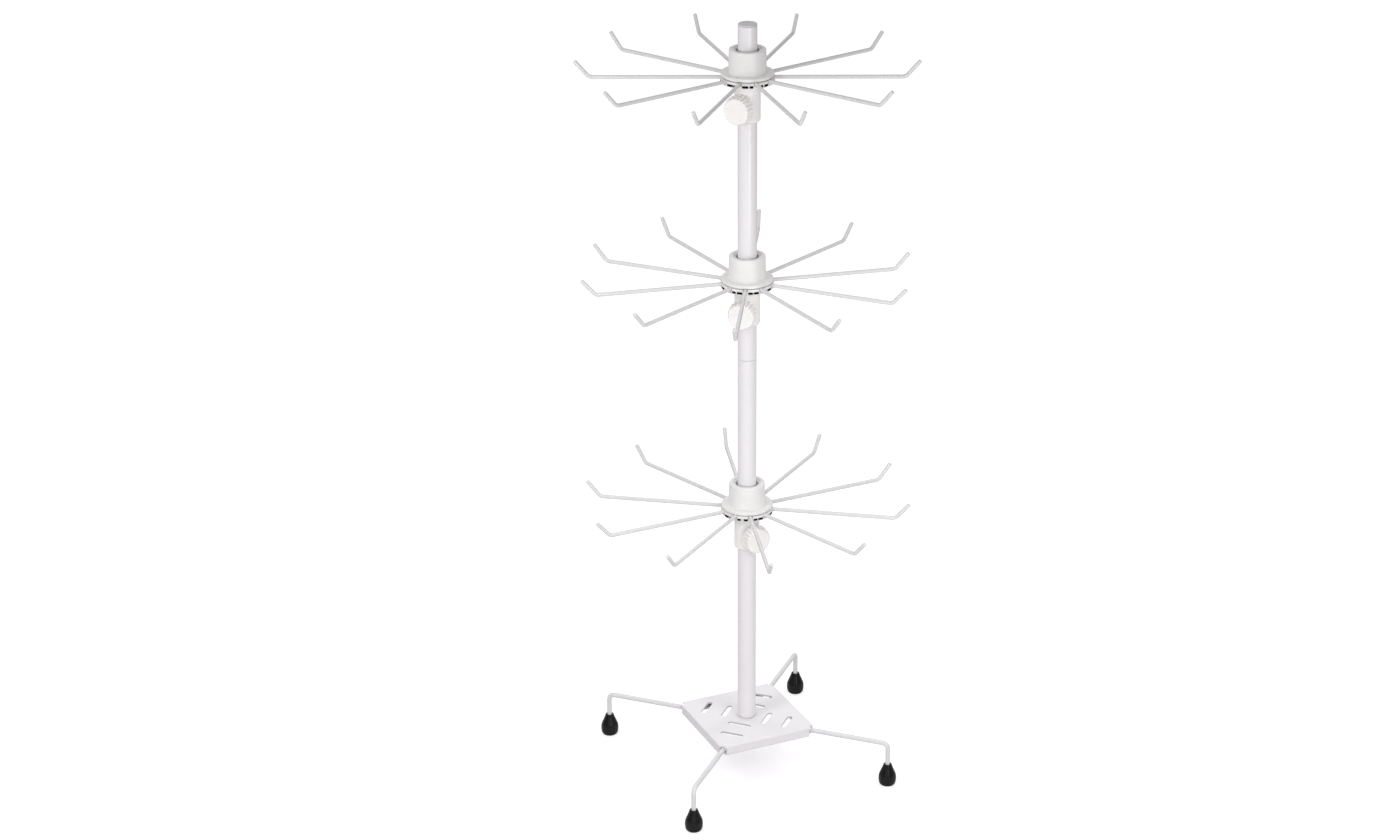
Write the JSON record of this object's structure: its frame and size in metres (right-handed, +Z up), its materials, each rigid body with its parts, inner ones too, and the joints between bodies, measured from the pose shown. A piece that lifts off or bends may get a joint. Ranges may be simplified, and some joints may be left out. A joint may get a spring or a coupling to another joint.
{
  "type": "rotating display rack",
  "caption": "Tall countertop rotating display rack: tiers of upturned wire hooks spin on a round pole above a square sheet-steel base with bent wire legs and rubber feet.",
  "frame": {"origin": "on the pole's axis at the surface that the feet stand on, at the centre of the rack's footprint", "axes": "+Z up along the pole, -Y towards the viewer in the picture, +X to the viewer's right"},
  "size_m": [0.3384, 0.3376, 0.8094],
  "materials": {
    "white_powder_coat": "semi-gloss white powder coat on steel",
    "white_plastic": "satin moulded white plastic",
    "natural_nylon": "natural nylon, satin",
    "milky_plastic": "milky translucent plastic, polished",
    "grey_plastic": "light grey moulded plastic",
    "black_rubber": "glossy black dipped rubber",
    "zinc_plated_steel": "bright zinc plate"
  },
  "bodies": {
    "stand": {"base_plate": "white_powder_coat", "lower_pole": "white_powder_coat", "upper_pole": "white_powder_coat", "pole_joiner": "zinc_plated_steel", "pole_cap": "grey_plastic", "base_plug": "zinc_plated_steel", "base_bolt": "zinc_plated_steel", "leg_right": "white_powder_coat", "leg_back": "white_powder_coat", "leg_left": "white_powder_coat", "leg_front": "white_powder_coat", "foot_cap_right": "black_rubber", "foot_cap_back": "black_rubber", "foot_cap_left": "black_rubber", "foot_cap_front": "black_rubber"},
    "top_lock": {"top_locking_collar": "milky_plastic"},
    "top_spinner": {"top_hub": "white_plastic", "top_bush": "natural_nylon", "top_arm_ring": "white_plastic", "top_hook_01": "white_powder_coat", "top_hook_02": "white_powder_coat", "top_hook_03": "white_powder_coat", "top_hook_04": "white_powder_coat", "top_hook_05": "white_powder_coat", "top_hook_06": "white_powder_coat", "top_hook_07": "white_powder_coat", "top_hook_08": "white_powder_coat", "top_hook_09": "white_powder_coat", "top_hook_10": "white_powder_coat"},
    "top_screw": {"top_thumb_screw": "milky_plastic"},
    "middle_lock": {"middle_locking_collar": "milky_plastic"},
    "middle_spinner": {"middle_hub": "white_plastic", "middle_bush": "natural_nylon", "middle_arm_ring": "white_plastic", "middle_hook_01": "white_powder_coat", "middle_hook_02": "white_powder_coat", "middle_hook_03": "white_powder_coat", "middle_hook_04": "white_powder_coat", "middle_hook_05": "white_powder_coat", "middle_hook_06": "white_powder_coat", "middle_hook_07": "white_powder_coat", "middle_hook_08": "white_powder_coat", "middle_hook_09": "white_powder_coat", "middle_hook_10": "white_powder_coat"},
    "middle_screw": {"middle_thumb_screw": "milky_plastic"},
    "bottom_lock": {"bottom_locking_collar": "milky_plastic"},
    "bottom_spinner": {"bottom_hub": "white_plastic", "bottom_bush": "natural_nylon", "bottom_arm_ring": "white_plastic", "bottom_hook_01": "white_powder_coat", "bottom_hook_02": "white_powder_coat", "bottom_hook_03": "white_powder_coat", "bottom_hook_04": "white_powder_coat", "bottom_hook_05": "white_powder_coat", "bottom_hook_06": "white_powder_coat", "bottom_hook_07": "white_powder_coat", "bottom_hook_08": "white_powder_coat", "bottom_hook_09": "white_powder_coat", "bottom_hook_10": "white_powder_coat"},
    "bottom_screw": {"bottom_thumb_screw": "milky_plastic"}
  },
  "joints": [
    {"name": "top_height_slide", "type": "slide", "parent": "stand", "child": "top_lock", "axis": [0, 0, 1], "range_m": [-0.06, 0.02]},
    {"name": "top_spin", "type": "hinge", "parent": "top_lock", "child": "top_spinner", "pos_m": [0, 0, 0.7554], "axis": [0, 0, 1], "continuous": true},
    {"name": "top_thumb_turn", "type": "hinge", "parent": "top_lock", "child": "top_screw", "pos_m": [-0.00717, -0.01408, 0.7268], "axis": [-0.454, -0.891, 0], "range_deg": [0, 720]},
    {"name": "middle_height_slide", "type": "slide", "parent": "stand", "child": "middle_lock", "axis": [0, 0, 1], "range_m": [-0.08, 0.06]},
    {"name": "middle_spin", "type": "hinge", "parent": "middle_lock", "child": "middle_spinner", "pos_m": [0, 0, 0.5424], "axis": [0, 0, 1], "continuous": true},
    {"name": "middle_thumb_turn", "type": "hinge", "parent": "middle_lock", "child": "middle_screw", "pos_m": [-0.00409, -0.01526, 0.5138], "axis": [-0.2588, -0.9659, 0], "range_deg": [0, 720]},
    {"name": "bottom_height_slide", "type": "slide", "parent": "stand", "child": "bottom_lock", "axis": [0, 0, 1], "range_m": [-0.16, 0.08]},
    {"name": "bottom_spin", "type": "hinge", "parent": "bottom_lock", "child": "bottom_spinner", "pos_m": [0, 0, 0.2944], "axis": [0, 0, 1], "continuous": true},
    {"name": "bottom_thumb_turn", "type": "hinge", "parent": "bottom_lock", "child": "bottom_screw", "pos_m": [0.00766, -0.01382, 0.2658], "axis": [0.4848, -0.8746, 0], "range_deg": [0, 720]}
  ]
}
